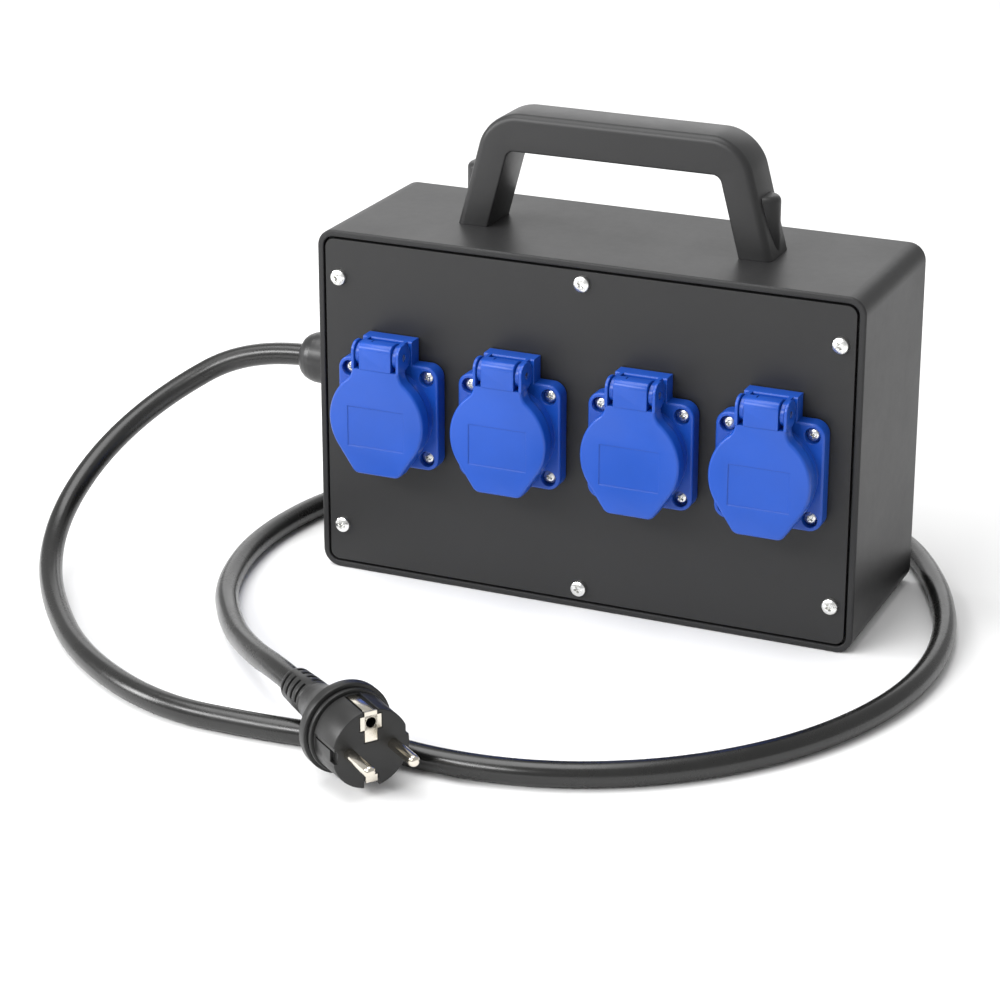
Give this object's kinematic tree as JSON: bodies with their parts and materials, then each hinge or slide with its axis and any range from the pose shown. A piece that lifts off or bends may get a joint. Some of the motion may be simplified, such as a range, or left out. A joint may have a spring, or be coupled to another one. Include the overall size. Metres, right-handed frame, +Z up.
{
  "type": "portable power distribution box",
  "caption": "Portable power distribution box with hinged blue socket lids on the front, a carrying handle on top, and a supply cable with an earthed plug.",
  "frame": {"origin": "Middle of the enclosure's bottom face, on the floor.", "axes": "+X to the right of someone facing the sockets, +Y to the back, +Z up."},
  "size_m": [0.4195, 0.3809, 0.215],
  "materials": {
    "shell_paint": "fine matt texture",
    "panel_paint": "smooth satin",
    "rubber": "matt",
    "bright_steel": "bright zinc",
    "handle_plastic": "fine matt texture",
    "gland_plastic": "satin",
    "blue_plastic": "satin to gloss",
    "insert_plastic": "satin",
    "contact_brass": "plain",
    "nickel": "nickel plate",
    "plug_rubber": "matt",
    "cable_rubber": "soft sheen",
    "block_plastic": "plain",
    "wire_brown": "plain",
    "wire_blue": "plain",
    "wire_green": "plain"
  },
  "bodies": {
    "box": {"cable": "cable_rubber", "cable_tail": "cable_rubber", "earth_contact_1": "nickel", "earth_contact_2": "nickel", "earth_contact_3": "nickel", "earth_contact_4": "nickel", "enclosure_shell": "shell_paint", "flange_gaskets": "rubber", "front_panel": "panel_paint", "gland_body": "gland_plastic", "gland_dome_nut": "gland_plastic", "gland_lock_nut": "gland_plastic", "gland_seal": "rubber", "gland_washer": "rubber", "handle": "handle_plastic", "handle_cap_left": "handle_plastic", "handle_cap_right": "handle_plastic", "handle_nuts": "bright_steel", "handle_screws": "bright_steel", "handle_washers": "bright_steel", "hinge_pins": "bright_steel", "lid_springs": "bright_steel", "panel_gasket": "rubber", "panel_screws": "bright_steel", "plug_body": "plug_rubber", "plug_earth_contacts": "nickel", "plug_pins": "nickel", "plug_strain_relief": "plug_rubber", "socket_contacts_1": "contact_brass", "socket_contacts_2": "contact_brass", "socket_contacts_3": "contact_brass", "socket_contacts_4": "contact_brass", "socket_housing_1": "blue_plastic", "socket_housing_2": "blue_plastic", "socket_housing_3": "blue_plastic", "socket_housing_4": "blue_plastic", "socket_insert_1": "insert_plastic", "socket_insert_2": "insert_plastic", "socket_insert_3": "insert_plastic", "socket_insert_4": "insert_plastic", "socket_nuts": "bright_steel", "socket_screws": "bright_steel", "terminal_block": "block_plastic", "terminal_inserts": "contact_brass", "terminal_screws": "bright_steel", "wire_earth": "wire_green", "wire_live": "wire_brown", "wire_neutral": "wire_blue"},
    "socket_lid_1": {"lid_1": "blue_plastic", "lid_seal_1": "rubber"},
    "socket_lid_2": {"lid_2": "blue_plastic", "lid_seal_2": "rubber"},
    "socket_lid_3": {"lid_3": "blue_plastic", "lid_seal_3": "rubber"},
    "socket_lid_4": {"lid_4": "blue_plastic", "lid_seal_4": "rubber"}
  },
  "joints": [
    {"name": "lid_1_hinge", "type": "hinge", "parent": "box", "child": "socket_lid_1", "pos_m": [-0.09, -0.06, 0.1122], "axis": [-1, 0, 0], "range_deg": [0, 110], "stiffness_Nm_per_rad": 0.006, "springref_deg": -34.38},
    {"name": "lid_2_hinge", "type": "hinge", "parent": "box", "child": "socket_lid_2", "pos_m": [-0.031, -0.06, 0.1122], "axis": [-1, 0, 0], "range_deg": [0, 110], "stiffness_Nm_per_rad": 0.006, "springref_deg": -34.38},
    {"name": "lid_3_hinge", "type": "hinge", "parent": "box", "child": "socket_lid_3", "pos_m": [0.031, -0.06, 0.1122], "axis": [-1, 0, 0], "range_deg": [0, 110], "stiffness_Nm_per_rad": 0.006, "springref_deg": -34.38},
    {"name": "lid_4_hinge", "type": "hinge", "parent": "box", "child": "socket_lid_4", "pos_m": [0.09, -0.06, 0.1122], "axis": [-1, 0, 0], "range_deg": [0, 110], "stiffness_Nm_per_rad": 0.006, "springref_deg": -34.38}
  ]
}
